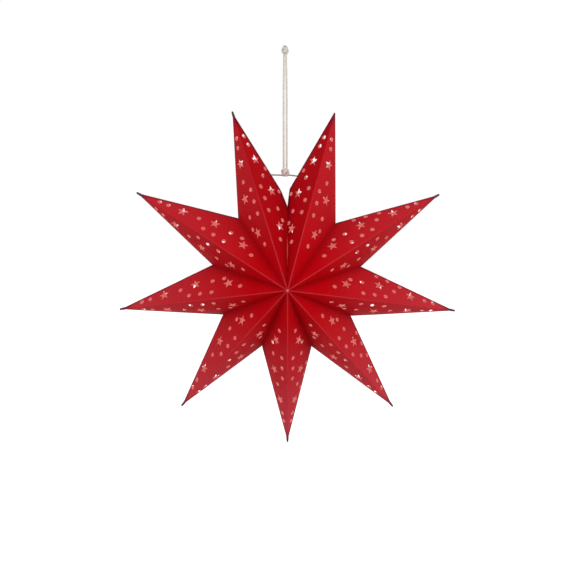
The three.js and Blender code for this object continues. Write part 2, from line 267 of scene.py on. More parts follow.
class Finishes(bpy.types.PropertyGroup):
    card: colour("Card", "Outside of the card", (0.515, 0.0006, 0.0045))
    # Painted sheen: a paler red laid on the card towards the lower tips, standing in for the room
    # light that they reflect.
    painted_sheen: colour("Sheen", "Outside of the card out at the tips, which catch more of the room",
                  (0.575, 0.045, 0.062))
    card_blotch: colour("Card blotch", "Faint cloudiness of the dyed card",
                        (0.46, 0.0005, 0.0035))
    # The ridge line is partly rubbed card at the crease and partly a painted highlight.
    ridge: colour("Ridge", "Rubbed line along a ridge", (0.66, 0.07, 0.09))
    fold_shade: colour("Fold shade", "Dark line along the outline folds", (0.09, 0.003, 0.018))
    # Painted shade: the darker red laid into the valleys, round the holes' rims and on the seam
    # halves that face each other.
    valley: colour("Valley", "Card down in a valley", (0.26, 0.001, 0.004))
    # Painted light: the inside's pink tint and its glow stand in for the red light that comes
    # through the card.
    inside: colour("Inside", "Pale inside of the card", (0.62, 0.45, 0.42))
    inside_glow: colour("Inside glow", "Light that comes through the card", (0.56, 0.135, 0.128))
    cut_edge: colour("Cut edge", "Cut edge of the card", (0.66, 0.30, 0.28))
    glued_end: colour("Glued end", "Pressed and glued layers at a tip", (0.05, 0.007, 0.013))
    steel: colour("Wire", "Steel of the hanger wire", (0.23, 0.16, 0.15))
    cotton: colour("Cotton", "Undyed cotton cord", (0.72, 0.67, 0.60))
    knot: colour("Knot", "Pressed cotton of the lower knot", (0.76, 0.64, 0.60))
    upper_knot: colour("Upper knot", "Handled cotton of the upper knot", (0.67, 0.645, 0.57))
    # The cut ends are simply given a darker grey than the cord.
    cut_cotton: colour("Cut ends", "Stiffened cut ends of the cord", (0.42, 0.43, 0.39))


class StudioSizes(bpy.types.PropertyGroup):
    distance: length("Camera distance", "From the camera to the centre of the star", 1.3095)
    tilt: FloatProperty(name="Camera tilt", description="How far the camera looks down",
                        default=math.radians(10.99), subtype="ANGLE", unit="ROTATION")
    focal: FloatProperty(name="Focal length", description="Lens, in millimetres on a 36 mm sensor",
                         default=62.2, min=1.0)
    shift: FloatVectorProperty(name="Shift", description="Framing of the picture", size=2,
                               default=(0.0009, -0.016))
    floor_drop: length("Floor", "Floor under where the lantern hangs", 1.45)
    floor: colour("Floor", "Pale floor and background", (0.9, 0.9, 0.9))
    ambient: portion("Ambient", "Strength of the even light", 0.44)


# Meshes


def unit(vector):
    return vector / np.linalg.norm(vector, axis=-1, keepdims=True)


def outwards(degrees):
    angle = math.radians(degrees)
    return np.array([math.sin(angle), 0.0, math.cos(angle)])


def sideways(degrees):
    angle = math.radians(degrees)
    return np.array([math.cos(angle), 0.0, -math.sin(angle)])


def full_turn(count):
    return np.arange(count) * 2 * np.pi / count


def running_length(path):
    """Length along a path up to each of its points."""
    return np.concatenate([[0.0], np.cumsum(np.linalg.norm(np.diff(path, axis=0), axis=1))])


def grid_faces(rows, columns):
    """Quads of a grid whose columns close on themselves and whose rows don't."""
    first = np.arange(rows - 1)[:, None] * columns
    here = np.arange(columns)[None, :]
    after = (here + 1) % columns
    quads = np.stack([first + here, first + after, first + columns + after,
                      first + columns + here], -1)
    return quads.reshape(-1, 4)


def joined(parts):
    """Several (points, faces, uv) as one, each part's faces moved on past the points before."""
    starts = np.cumsum([0] + [len(p[0]) for p in parts[:-1]])
    faces = np.vstack([p[1] + start for p, start in zip(parts, starts)])
    return np.vstack([p[0] for p in parts]), faces, np.vstack([p[2] for p in parts])


def carried(path, side, across, along_side):
    """A closed surface made by a closed profile carried along a path.

    At each step of the path the profile stands square to it: its first axis is the side
    direction made square to the path, and its second is the path's direction crossed with
    the first. The profile's two coordinates, which may change from step to step, are
    measured along them. Two more rows draw each end together to the path.
    """
    ahead = unit(np.gradient(path, axis=0))
    first = unit(side - (side * ahead).sum(-1, keepdims=True) * ahead)
    second = np.cross(ahead, first)
    points = (path[:, None] + along_side[..., None] * first[:, None]
              + across[..., None] * second[:, None])
    low = path[0] + (points[0] - path[0]) * np.array([0.0, END_SHRINK])[:, None, None]
    high = path[-1] + (points[-1] - path[-1]) * np.array([END_SHRINK, 0.0])[:, None, None]
    points = np.vstack([low, points, high])
    rows, columns = points.shape[:2]
    run = running_length(path)
    run = np.concatenate([[0.0, 0.0], run, [run[-1]] * 2])
    turn = np.arange(columns) / columns
    uv = np.stack(np.broadcast_arrays(turn[None, :], run[:, None] * TUBE_UV), -1)
    return points.reshape(-1, 3), grid_faces(rows, columns), uv.reshape(-1, 2)


def tube(path, side, radius, sides, pitch=math.inf, dip=0.0):
    """A round tube: a circle carried along a path, whose radius may vary by row. A cord has
    three plies, which turn once round the path in each pitch. Between them its radius is less
    by a share, which is the dip times (1 - c) to the power 1.5, where c is the size of the
    cosine of 1.5 times the angle from a ply's middle."""
    turn = full_turn(sides)
    plies = np.abs(np.cos(1.5 * (turn - running_length(path)[:, None] * 2 * np.pi / pitch)))
    reach = np.reshape(radius, (-1, 1)) * (1 - dip * (1 - plies) ** 1.5)
    return carried(path, side, reach * np.sin(turn), reach * np.cos(turn))


def smooth_route(points, steps):
    """A smooth curve through the points, which ends at the outer ones. Its parameter grows by
    the square root of each distance. Between two points it blends the straight lines through
    neighbouring points, then blends what that gives, and then once more."""
    points = np.asarray(points, float)
    ghosts = np.vstack([2 * points[0] - points[1], points, 2 * points[-1] - points[-2]])
    gaps = np.linalg.norm(np.diff(ghosts, axis=0), axis=1) ** 0.5
    knots = np.concatenate([[0.0], np.cumsum(gaps)])

    def between(t, first, second, start, end):
        return ((end - t) * first + (t - start) * second) / (end - start)

    runs = []
    for i in range(1, len(ghosts) - 2):
        t = np.linspace(knots[i], knots[i + 1], steps, endpoint=i == len(ghosts) - 3)[:, None]
        t0, t1, t2, t3 = knots[i - 1 : i + 3]
        p0, p1, p2, p3 = ghosts[i - 1 : i + 3]
        middle = between(t, p1, p2, t1, t2)
        early = between(t, between(t, p0, p1, t0, t1), middle, t0, t2)
        late = between(t, middle, between(t, p2, p3, t2, t3), t1, t3)
        runs.append(between(t, early, late, t1, t2))
    return np.vstack(runs)


def mesh_object(name, points, faces, uv, materials, smooth_angle=40):
    """A mesh object at the origin, its UV map filled from one pair of numbers per point."""
    mesh = bpy.data.meshes.new(name)
    mesh.from_pydata(points, [], faces)
    layer = mesh.uv_layers.new(name="sheet")
    corners = np.empty(len(mesh.loops), np.int64)
    mesh.loops.foreach_get("vertex_index", corners)
    layer.data.foreach_set("uv", uv[corners].astype(np.float32).ravel())
    for material in materials:
        mesh.materials.append(material)
    mesh.shade_smooth()
    mesh.set_sharp_from_angle(angle=math.radians(smooth_angle))
    made = bpy.data.objects.new(name, mesh)
    bpy.context.scene.collection.objects.link(made)
    return made


def mark_points(made, name, values):
    layer = made.data.attributes.new(name, "FLOAT", "POINT")
    layer.data.foreach_set("value", values.astype(np.float32))


def close_up(made, distance=1e-6, turn_out=True):
    """Merges the points that lie on each other and turns every face outwards, where asked."""
    work = bmesh.new()
    work.from_mesh(made.data)
    bmesh.ops.remove_doubles(work, verts=work.verts, dist=distance)
    if turn_out:
        bmesh.ops.recalc_face_normals(work, faces=work.faces)
    work.to_mesh(made.data)
    work.free()


# Finishes


def give(tree, node, inputs):
    """Sets each named input of a node: to a plain value, or linked to another's output."""
    for name, value in inputs.items():
        if isinstance(value, bpy.types.NodeSocket):
            tree.links.new(value, node.inputs[name])
        else:
            node.inputs[name].default_value = value


def add(tree, kind, inputs, **settings):
    """A new node, placed after the others in columns of four."""
    column, row = divmod(len(tree.nodes), 4)
    made = tree.nodes.new(kind)
    made.location = (240 * column - 2600, 280 * (1 - row))
    for name, value in settings.items():
        setattr(made, name, value)
    give(tree, made, inputs)
    return made


def maths(tree, operation, first, second, **settings):
    made = add(tree, "ShaderNodeMath", {0: first, 1: second}, operation=operation, **settings)
    return made.outputs[0]


def mapped(tree, value, given=(0.0, 1.0), wanted=(0.0, 1.0), **settings):
    """Stretches a value's given range to the wanted one, and holds it there outside."""
    ends = {"From Min": given[0], "From Max": given[1], "To Min": wanted[0], "To Max": wanted[1]}
    return add(tree, "ShaderNodeMapRange", {"Value": value, **ends}, **settings).outputs["Result"]


def new_group(name, inputs, outputs):
    """A shader group. An input is a number with a default, or a vector where that is None."""
    tree = bpy.data.node_groups.new(name, "ShaderNodeTree")
    for label, value in inputs.items():
        kind = "NodeSocketVector" if value is None else "NodeSocketFloat"
        socket = tree.interface.new_socket(name=label, in_out="INPUT", socket_type=kind)
        if value is not None:
            socket.default_value = value
    for label in outputs:
        tree.interface.new_socket(name=label, in_out="OUTPUT", socket_type="NodeSocketFloat")
    return tree, add(tree, "NodeGroupInput", {}).outputs, add(tree, "NodeGroupOutput", {})


def fibre_group():
    """Paper or cotton as two masks: fibres, which are two stretched noises, each turned its
    own way, multiplied by each other; and slow blotches."""
    tree, given, out = new_group(
        "fibres", {"Vector": None, "Fibre Scale": 60.0, "Blotch Scale": 3.0},
        ["Fibres", "Blotches"])
    noises = []
    for turned, stretch in ((0.5, 0.18), (-0.9, 0.22)):
        vector = add(tree, "ShaderNodeMapping", {
            "Vector": given["Vector"], "Rotation": (0, 0, turned), "Scale": (1.0, stretch, 1.0)})
        noises.append(add(tree, "ShaderNodeTexNoise", {
            "Vector": vector.outputs["Vector"], "Scale": given["Fibre Scale"], "Detail": 4.0}))
    both = maths(tree, "MULTIPLY", *(noise.outputs["Fac"] for noise in noises))
    blotch = add(tree, "ShaderNodeTexNoise", {
        "Vector": given["Vector"], "Scale": given["Blotch Scale"], "Detail": 2.0})
    give(tree, out, {"Fibres": mapped(tree, both, (0.12, 0.42)),
                     "Blotches": mapped(tree, blotch.outputs["Fac"], (0.35, 0.68))})
    return tree


def line_group():
    """A soft line where a distance is small: one at the crease, fading out over the width,
    and broken up a little by a grain mask. It lays painted shade along the valleys, hole rims and
    outline folds, and the lighter ridge line, which is partly a painted highlight."""
    tree, given, out = new_group(
        "crease_line", {"Distance": 0.0, "Width": 1.0, "Breakup": 0.5, "Strength": 1.0}, ["Line"])
    fade = mapped(tree, given["Distance"], (0.0, given["Width"]), (1.0, 0.0),
                  interpolation_type="SMOOTHSTEP")
    broken_up = mapped(tree, given["Breakup"], wanted=(0.7, 1.0))
    faint = maths(tree, "MULTIPLY", fade, broken_up)
    give(tree, out, {"Line": maths(tree, "MULTIPLY", faint, given["Strength"], use_clamp=True)})
    return tree


def shared(tree, name, build, inputs):
    """A node that stands for a shader group, which is built once."""
    group = bpy.data.node_groups.get(name) or build()
    return add(tree, "ShaderNodeGroup", inputs, node_tree=group).outputs


def new_material(name):
    material = bpy.data.materials.new(name)
    material.use_nodes = True
    tree = material.node_tree
    return material, tree, tree.nodes["Principled BSDF"]


def grained(name, scale, blotch_scale, vector="UV"):
    """A new material with the two masks of its grain."""
    material, tree, shader = new_material(name)
    place = add(tree, "ShaderNodeTexCoord", {}).outputs[vector]
    grain = shared(tree, "fibres", fibre_group,
                   {"Vector": place, "Fibre Scale": scale, "Blotch Scale": blotch_scale})
    return material, tree, shader, grain["Fibres"], grain["Blotches"]


def read(tree, mark):
    return add(tree, "ShaderNodeAttribute", {}, attribute_name=mark).outputs["Fac"]


def times(colour, share):
    return tuple(min(1.0, share * part) for part in colour)


def mixed(tree, under, over, mask, amount=1.0):
    """Lays a plain colour over another by a mask; the lower may be plain or an output."""
    if amount != 1.0:
        mask = maths(tree, "MULTIPLY", mask, amount)
    if not isinstance(under, bpy.types.NodeSocket):
        under = (*under, 1.0)
    mix = add(tree, "ShaderNodeMix", {"A": under, "B": (*over, 1.0), "Factor": mask},
              data_type="RGBA")
    return mix.outputs["Result"]


def relief(tree, height, strength, distance=0.0002):
    return add(tree, "ShaderNodeBump", {"Height": height, "Strength": strength,
                                        "Distance": distance}).outputs["Normal"]


def red_card(finish):
    material, tree, shader, threads, blotches = grained("red_card", 55.0, 2.2)
    base = mixed(tree, finish.card, finish.card_blotch, blotches, 0.6)
    # Painted sheen towards the lower tips, and painted shade on the seam halves that face each
    # other
    base = mixed(tree, base, finish.painted_sheen, read(tree, "painted_sheen"))
    base = mixed(tree, base, finish.valley, read(tree, "shade"))
    # Painted shade: the card darkens towards the tips
    pressed = mapped(tree, read(tree, "hub_mm"), TIP_SHADE_MM)
    base = mixed(tree, base, finish.fold_shade, pressed, 0.85)
    # Lines on the card: painted shade along the valleys and round the holes, a lighter ridge line
    # that is partly rubbed card and partly a painted highlight, and painted shade along the
    # outline folds
    for mark, width, strength, breakup, over in (
        ("valley_mm", 11.0, 0.44, blotches, finish.valley),
        ("rim_mm", 1.1, 0.5, threads, finish.valley),
        ("ridge_mm", 1.3, 0.5, threads, finish.ridge),
        ("outline_mm", 4.2, 1.0, threads, finish.fold_shade),
    ):
        line = shared(tree, "crease_line", line_group, {
            "Distance": read(tree, mark), "Width": width, "Strength": strength, "Breakup": breakup})
        base = mixed(tree, base, over, line["Line"])
    give(tree, shader, {
        "Base Color": base,
        "Roughness": mapped(tree, threads, wanted=(0.62, 0.5)),
        "Specular IOR Level": 0.03,
        "Normal": relief(tree, threads, 0.25),
    })
    return material


def card_inside(finish):
    material, tree, shader, threads, blotches = grained("card_inside", 55.0, 13.0)
    give(tree, shader, {
        "Base Color": mixed(tree, finish.inside, finish.cut_edge, blotches, 0.3),
        # Painted glow, varied by the blotches, for the light that comes through the card
        "Emission Color": mixed(tree, finish.inside_glow, times(finish.inside_glow, 0.6),
                                blotches),
        "Emission Strength": 0.6,
        "Roughness": 0.85,
        "Normal": relief(tree, threads, 0.2),
    })
    return material


def cut_edge(finish):
    material, tree, shader, threads, _ = grained("cut_edge", 90.0, 8.0)
    give(tree, shader, {
        "Base Color": mixed(tree, finish.cut_edge, finish.card, threads, 0.5),
        "Roughness": 0.9,
    })
    return material


def glued_card(finish):
    """Dark where the layers are pressed together, and card red where they leave the folds."""
    material, tree, shader, threads, blotches = grained("glued_card", 260.0, 60.0, "Object")
    base = mixed(tree, finish.glued_end, times(finish.glued_end, 1.6), blotches, 0.7)
    give(tree, shader, {
        "Base Color": mixed(tree, base, finish.card, read(tree, "root_share"), 0.85),
        "Roughness": mapped(tree, threads, wanted=(0.75, 0.55)),
        "Normal": relief(tree, threads, 0.35),
    })
    return material


def hanger_steel(finish):
    material, tree, shader, threads, blotches = grained("hanger_steel", 30.0, 6.0)
    give(tree, shader, {
        "Base Color": mixed(tree, finish.steel, times(finish.steel, 0.55), blotches, 0.8),
        "Roughness": mapped(tree, threads, wanted=(0.36, 0.55)),
        "Metallic": 0.85,
        "Normal": relief(tree, threads, 0.2, 0.0001),
    })
    return material


def cotton(name, base_colour):
    """Twisted cotton: darker by its fibres and paler by its blotches."""
    material, tree, shader, threads, blotches = grained(name, 9.0, 2.0)
    base = mixed(tree, base_colour, times(base_colour, 0.72), threads, 0.55)
    give(tree, shader, {
        "Base Color": mixed(tree, base, times(base_colour, 1.12), blotches, 0.35),
        "Roughness": 0.92,
        "Sheen Weight": 0.15,
        "Normal": relief(tree, threads, 0.6),
    })
    return material


# Folded card


def half_of(sizes, index, side):
    """Angles and sizes of half a point, from its ridge to the valley it shares."""
    last = len(POINT_ANGLES) - 1
    tip = {0: sizes.first_tip, last: sizes.last_tip}.get(index, sizes.tip)
    fold_tip = sizes.first_fold_tip if index == 0 else tip - sizes.overhang
    half = {"index": index, "ridge": POINT_ANGLES[index], "tip": tip, "fold_tip": fold_tip,
            "cut": max(CARD_CUT, fold_tip - tip + FIRST_CARD_CUT), "wire": None}
    if (index, side) == (0, "left"):
        return {**half, "valley": 0.0, **SEAM["right"]}
    if (index, side) == (last, "right"):
        return {**half, "valley": 360.0, **SEAM["left"]}
    valley = index - 1 if side == "left" else index
    return {**half, "valley": VALLEY_ANGLES[valley], "notch": sizes.notch * NOTCH_REACHES[valley]}


def signed_distance(points, start, end):
    """Distance of flat points from the line through two places, positive on its left."""
    way = unit(end - start)
    return (points - start) @ np.array([-way[1], way[0]])


class Facet:
    """A flat facet of a half point: the triangle hub, fold tip, notch. Its plane has u along
    the ridge from the hub and v across it towards the notch."""

    def __init__(self, sizes, half, facing):
        self.half = half
        self.facing = facing
        self.hub = np.array([0.0, facing * sizes.half_depth, 0.0])
        self.tip = outwards(half["ridge"]) * half["fold_tip"]
        self.notch = outwards(half["valley"]) * half["notch"]
        self.along = unit(self.tip - self.hub)
        to_notch = self.notch - self.hub
        self.across = unit(to_notch - self.along * (to_notch @ self.along))
        self.normal = np.cross(self.along, self.across)
        self.flat_tip, self.flat_notch = self.flat(self.tip), self.flat(self.notch)
        self.fold_way = unit(self.flat_notch - self.flat_tip)
        hub_side = np.sign(signed_distance(np.zeros(2), self.flat_tip, self.flat_notch))
        self.inwards = np.array([-self.fold_way[1], self.fold_way[0]]) * hub_side

    def flat(self, place):
        return np.array([(place - self.hub) @ self.along, (place - self.hub) @ self.across])

    def from_fold(self, points):
        """Distance of flat points from the outline fold, negative past it."""
        return (points - self.flat_tip) @ self.inwards

    def from_valley(self, points):
        return np.abs(signed_distance(points, np.zeros(2), self.flat_notch))


def even_places(sizes, shares):
    """Places given as shares of the two sides of an even facet, in that facet's plane."""
    half = {"ridge": 0.0, "valley": EVEN_HALF_ANGLE, "fold_tip": sizes.tip - sizes.overhang,
            "notch": sizes.notch}
    even = Facet(sizes, half, FRONT)
    return np.asarray(shares) @ np.array([even.flat_tip, even.flat_notch])


def hole_outline(centre, radius, count, waist=None):
    """A regular ring of points; with a waist every second point is drawn in to that share."""
    turn = full_turn(count)
    reach = np.full(count, radius)
    if waist:
        reach[1::2] *= waist
    return centre + reach[:, None] * np.stack([np.cos(turn), np.sin(turn)], -1)


def wire_crossing(half):
    """Where the wire goes through the outline fold of a seam half."""
    tip = outwards(half["ridge"]) * half["fold_tip"]
    notch = outwards(half["valley"]) * half["notch"]
    return tip + (notch - tip) * (tip[2] - half["wire"]) / (tip[2] - notch[2])


def punched_holes(sizes, wire, facet, side):
    """Outlines of every hole in a facet: dots, small stars and, at the seam, the wire's eye.
    The dots beside the outline fold are in front on the left halves of the first points and
    on both halves at the seam, and behind elsewhere."""
    half = facet.half
    behind = np.array(BACK_PATTERN_SHIFTS_MM[half["index"]]) / MM * (facet.facing == BACK)
    shift = behind - np.array([sizes.first_shift * (half["index"] == 0), 0.0])
    dots = list(even_places(sizes, DOT_PLACES))
    front_half = side == "left" and half["index"] < FRONT_OUTLINE_DOT_POINTS
    if (front_half or half["wire"] is not None) == (facet.facing == FRONT):
        foot, middle, tip = even_places(sizes, OUTLINE_DOT_PLACES)
        dots += [foot, tip] if half["wire"] else [foot, middle, tip]
    stars = even_places(sizes, STAR_PLACES)
    eyes = [facet.flat(wire_crossing(half))] if half["wire"] else []
    return ([hole_outline(c + shift, sizes.dot, 20) for c in dots]
            + [hole_outline(c + shift, sizes.star, 10, sizes.star_waist) for c in stars]
            + [hole_outline(c, wire.eye, 14) for c in eyes])


def inside_outline(points, corners):
    """Whether flat points are inside an outline, by counting the edges passed on one side."""
    x, y = points[:, :1], points[:, 1:]
    x0, y0 = corners[:, 0], corners[:, 1]
    x1, y1 = np.roll(x0, -1), np.roll(y0, -1)
    spans = (y0 <= y) != (y1 <= y)
    with np.errstate(divide="ignore", invalid="ignore"):
        meets = x0 + (y - y0) * (x1 - x0) / (y1 - y0)
    return (spans & (x < meets)).sum(1) % 2 == 1


def run_between(start, end, spacing, bulge=0.0):
    """Evenly spaced points from a place up to, and without, the next; flat ones may bulge to
    the right of their way by 4 times the bulge times t times (1 - t)."""
    count = max(1, int(round(np.linalg.norm(end - start) / spacing)))
    share = (np.arange(count) / count)[:, None]
    points = start + (end - start) * share
    if bulge:
        way = unit(end - start)
        points = points + np.array([way[1], -way[0]]) * 4 * bulge * share * (1 - share)
    return points


def distance_to(points, outline):
    """Distance of flat points from the nearest edge of a closed outline."""
    way = np.roll(outline, -1, 0) - outline
    offset = points[:, None] - outline
    share = np.clip((offset * way).sum(-1) / (way * way).sum(-1), 0, 1)
    return np.linalg.norm(offset - share[..., None] * way, axis=-1).min(1)


def clear_of(points, outlines, margin):
    """Which flat points lie further than a margin outside each outline's farthest corner."""
    keep = np.ones(len(points), bool)
    for outline in outlines:
        centre = outline.mean(0)
        reach = np.linalg.norm(outline - centre, axis=1).max() + margin
        keep &= np.linalg.norm(points - centre, axis=1) > reach
    return keep


def facet_outline(sizes, facet):
    """Edge of a facet as a loop of points, and the mouth that a seam half has. Its two folds
    bulge a hair outwards, so that no three of their points are in line when it is filled.

    It runs along the ridge from the cut hub corner, round the end of the folds, back along
    the outline fold, across the cut corner of a seam half, and home beside the valley. The
    valley edge stays back by half the card's thickness over the tangent of its lean, less a
    hair, so that the faces of two glued neighbours meet.
    """
    hub, tip, notch = np.zeros(2), facet.flat_tip, facet.flat_notch
    fold, cut = facet.fold_way, facet.half["cut"]
    lean = abs(facet.normal @ sideways(facet.half["valley"]))
    inset = (sizes.thickness / 2 * lean - GLUE_OVERLAP) / math.sqrt(1 - lean * lean)
    homeward = unit(hub - notch)
    inwards = np.array([-homeward[1], homeward[0]])
    inwards *= np.sign((tip - notch) @ inwards)
    ridge_end, fold_start = tip - np.array([cut, 0.0]), tip + fold * cut
    valley_end = -homeward * sizes.hub + inwards * inset
    mouth = None
    if facet.half["wire"]:
        corner = tip + (notch - tip) * facet.half["corner"]
        foot = notch * facet.half["foot"] + inwards * inset
        home = run_between(foot, valley_end, EDGE_STEP)
        if facet.facing == FRONT:
            share = np.linalg.norm(home, axis=1) / np.linalg.norm(notch)
            gape = np.clip((share - SLIT_START) / SLIT_SPAN, 0, 1)
            home = home + inwards * (sizes.slit / 2 * np.sin(np.pi * gape) ** 2)[:, None]
        runs = [run_between(fold_start, corner, EDGE_STEP, FOLD_BULGE),
                run_between(corner, foot, EDGE_STEP), home]
        mouth = (corner, foot)
    else:
        sine = abs(fold[0] * homeward[1] - fold[1] * homeward[0])
        notch_end = notch - fold * (inset / sine)
        runs = [run_between(fold_start, notch_end, EDGE_STEP, FOLD_BULGE),
                run_between(notch_end, valley_end, EDGE_STEP)]
    ridge_start = np.array([sizes.hub, 0.0])
    loop = np.vstack([run_between(ridge_start, ridge_end, EDGE_STEP, FOLD_BULGE),
                      ridge_end[None], *runs, valley_end[None]])
    return loop, mouth


def free_points(sizes, facet, loop, holes, mouth):
    """Flat points inside a facet: rows beside its creases, rings round its holes, and a grid
    of even triangles between them."""
    tip, notch, cut = facet.flat_tip, facet.flat_notch, facet.half["cut"]
    rows = []
    for share in CREASE_ROWS:
        away = share * sizes.crease
        rows.append(run_between(np.array([sizes.hub, away]), tip - np.array([cut, -away]),
                                EDGE_STEP))
        rows.append(run_between(tip + facet.fold_way * cut, notch, EDGE_STEP)
                    + facet.inwards * away)
    rows = np.vstack(rows)
    along, across = np.arange(0.0, tip[0], GRID_STEP), np.arange(0.0, notch[1], GRID_ROW)
    grid = np.stack(np.meshgrid(along, across, indexing="xy"), -1)
    grid[1::2, :, 0] += GRID_STEP / 2
    grid = grid.reshape(-1, 2)
    rings = np.vstack([hole + RING_ROUND_HOLE * unit(hole - hole.mean(0)) for hole in holes])
    deep = sizes.crease + GRID_PAST_CREASE
    grid, rings = (p[(p[:, 1] > deep) & (facet.from_fold(p) > deep)] for p in (grid, rings))
    rows = rows[clear_of(rows, holes, HOLE_TO_ROW) & (rows[:, 1] > 0)
                & (facet.from_fold(rows) > 0)]
    free = np.vstack([rows, rings, grid[clear_of(grid, holes, HOLE_TO_GRID)]])
    free = free[inside_outline(free, loop) & (facet.from_valley(free) > VALLEY_TO_POINT)]
    if mouth:
        free = free[np.abs(signed_distance(free, *mouth)) > MOUTH_TO_POINT]
    return free


def filled(loop, holes, free):
    """Flat points and triangles between an edge, its holes and the free points inside."""
    rings = [loop, *holes]
    starts = np.cumsum([0] + [len(r) for r in rings[:-1]])
    edges = np.vstack([
        np.stack([np.arange(len(r)), (np.arange(len(r)) + 1) % len(r)], -1) + start
        for r, start in zip(rings, starts)
    ])
    everything = np.vstack([*rings, free]).tolist()
    flat, _, triangles, *_ = delaunay_2d_cdt(everything, edges.tolist(), [], 0, SAME_PLACE, False)
    flat, triangles = np.array(flat), np.array(triangles)
    first, second = (flat[triangles[:, k]] - flat[triangles[:, 0]] for k in (1, 2))
    double_area = np.abs(first[:, 0] * second[:, 1] - first[:, 1] * second[:, 0])
    middles = flat[triangles].mean(1)
    keep = inside_outline(middles, loop) & (double_area > LEAST_DOUBLE_AREA)
    for hole in holes:
        keep &= ~inside_outline(middles, hole)
    used, triangles = np.unique(triangles[keep], return_inverse=True)
    return flat[used], triangles.reshape(-1, 3)


def in_space(sizes, facet, flat, bow):
    """Where a facet's flat points are in space: at hub + u * along + v * across, moved by the
    bow, the swell and the creases.

    The bow moves a point along the normal by 27 times the product of its three shares of the
    triangle. The swell adds 6.75 times the local width times t times (1 - t) squared, where t
    runs from 0 at the outline fold to 1 at the ridge, and fades out beside the valley. Near a
    crease a point is drawn in along the line that halves the fold, by a share of the crease
    radius times the square of what is left of that radius, so that two facets meet in an arc.
    """
    u, v = flat[:, 0], flat[:, 1]
    tip, notch = facet.flat_tip, facet.flat_notch
    outline, ridge = np.maximum(facet.from_fold(flat), 0), np.maximum(v, 0)
    share_notch = v / notch[1]
    share_tip = (u - share_notch * notch[0]) / tip[0]
    share_hub = 1 - share_notch - share_tip
    lift = bow * 27
    for share in (share_notch, share_tip, share_hub):
        lift = lift * np.clip(share, 0, 1)
    width = np.maximum(outline + ridge, 1e-6)
    lift += (sizes.swell * 6.75 * outline * (ridge / width) ** 2
             * np.clip(facet.from_valley(flat) / SWELL_FADE, 0, 1) ** 1.5)
    outer = facet.normal * np.sign(facet.normal[1] * facet.facing)
    depth_way = np.array([0.0, -facet.facing, 0.0])
    ridge_in = unit(depth_way - facet.along * (depth_way @ facet.along))
    fold = unit(facet.notch - facet.tip)
    fold_in = unit(fold * (facet.tip @ fold) - facet.tip)
    points = facet.hub + u[:, None] * facet.along + v[:, None] * facet.across
    points = points + lift[:, None] * outer
    radius = sizes.crease
    for draw, away, other, way in ((RIDGE_DRAW, ridge, outline, ridge_in),
                                   (FOLD_DRAW, outline, ridge, fold_in)):
        drawn = draw * radius * np.clip(1 - away / radius, 0, 1) ** 2
        points = points + (drawn * np.clip(other / CREASE_FADE, 0, 1))[:, None] * way
    return points


def marks(facet, flat, points, holes, mouth):
    """What the finish goes by: distances from the creases, holes and hub in millimetres, and
    how much painted sheen the card gets towards the lower tips and how much painted shade it
    gets beside the seam."""
    outline, ridge = np.maximum(facet.from_fold(flat), 0), np.maximum(flat[:, 1], 0)
    if mouth:
        outline = MOUTH_LINE * np.minimum(outline, np.abs(signed_distance(flat, *mouth)))
    rim = np.min([distance_to(flat, hole) for hole in holes], axis=0)
    faded = RIDGE_LINE_FADE * np.clip(flat[:, 0] - RIDGE_LINE_END, 0, 1)
    reach, seam = np.hypot(points[:, 0], points[:, 2]), facet.half["wire"] is not None
    # Painted sheen: grows from the hub outwards and downwards, and is weaker on a seam sheet
    painted_sheen = (np.clip((reach - SHEEN_START) / SHEEN_SPAN, 0, 1)
             * np.clip(SHEEN_AT_CENTRE - SHEEN_PER_DROP * points[:, 2], SHEEN_LEAST, 1)
             * (1 - SEAM_LESS_SHEEN * seam))
    return {"ridge_mm": ridge * MM + faded, "outline_mm": outline * MM,
            "valley_mm": facet.from_valley(flat) * MM, "rim_mm": rim * MM,
            "hub_mm": reach * MM, "painted_sheen": painted_sheen,
            "shade": np.full(len(reach), SEAM_SHADE * seam)}


def facet_sheet(sizes, wire, half, side, facing, bow):
    """Middle surface of one facet: points, triangles, uv and marks. It is triangulated flat
    and then put in space, with the points that the bulge left outside its folds on them."""
    facet = Facet(sizes, half, facing)
    loop, mouth = facet_outline(sizes, facet)
    holes = punched_holes(sizes, wire, facet, side)
    flat, triangles = filled(loop, holes, free_points(sizes, facet, loop, holes, mouth))
    flat[:, 1] = np.maximum(flat[:, 1], 0)
    flat -= facet.inwards * np.minimum(facet.from_fold(flat), 0)[:, None]
    points = in_space(sizes, facet, flat, bow)
    if facet.normal[1] * facing < 0:
        triangles = triangles[:, ::-1]
    return points, triangles, flat * CARD_UV, marks(facet, flat, points, holes, mouth)


def folded_point(index, sizes, wire, materials):
    """One point of the star as a single folded card: its four facets are joined along their
    creases, and the card gets its thickness, half to each side of the middle surface."""
    chance = np.random.default_rng(100 + index)
    sheets = []
    for side in ("left", "right"):
        half = half_of(sizes, index, side)
        for facing in (FRONT, BACK):
            bow = sizes.bow * chance.uniform(-0.5, 1.0)
            points, faces, uv, marked = facet_sheet(sizes, wire, half, side, facing, bow)
            sheets.append((points + np.array(sizes.centre), faces, uv + chance.uniform(0, 9, 2),
                           marked))
    points, faces, uv = joined([s[:3] for s in sheets])
    made = mesh_object(f"point_{index + 1}_card", points, faces, uv, materials)
    for name in sheets[0][3]:
        mark_points(made, name, np.concatenate([s[3][name] for s in sheets]))
    close_up(made, CARD_WELD, turn_out=False)
    card = made.modifiers.new("card", "SOLIDIFY")
    card.thickness = sizes.thickness
    card.offset = 0.0
    card.use_quality_normals = True
    card.material_offset = 1
    card.material_offset_rim = 2
    finished = made.evaluated_get(bpy.context.evaluated_depsgraph_get())
    mesh = bpy.data.meshes.new_from_object(finished)
    mesh.name = made.name
    made.modifiers.clear()
    made.data = mesh
    mesh.shade_smooth()
    mesh.set_sharp_from_angle(angle=math.radians(CARD_SHARP_ANGLE))
    return made


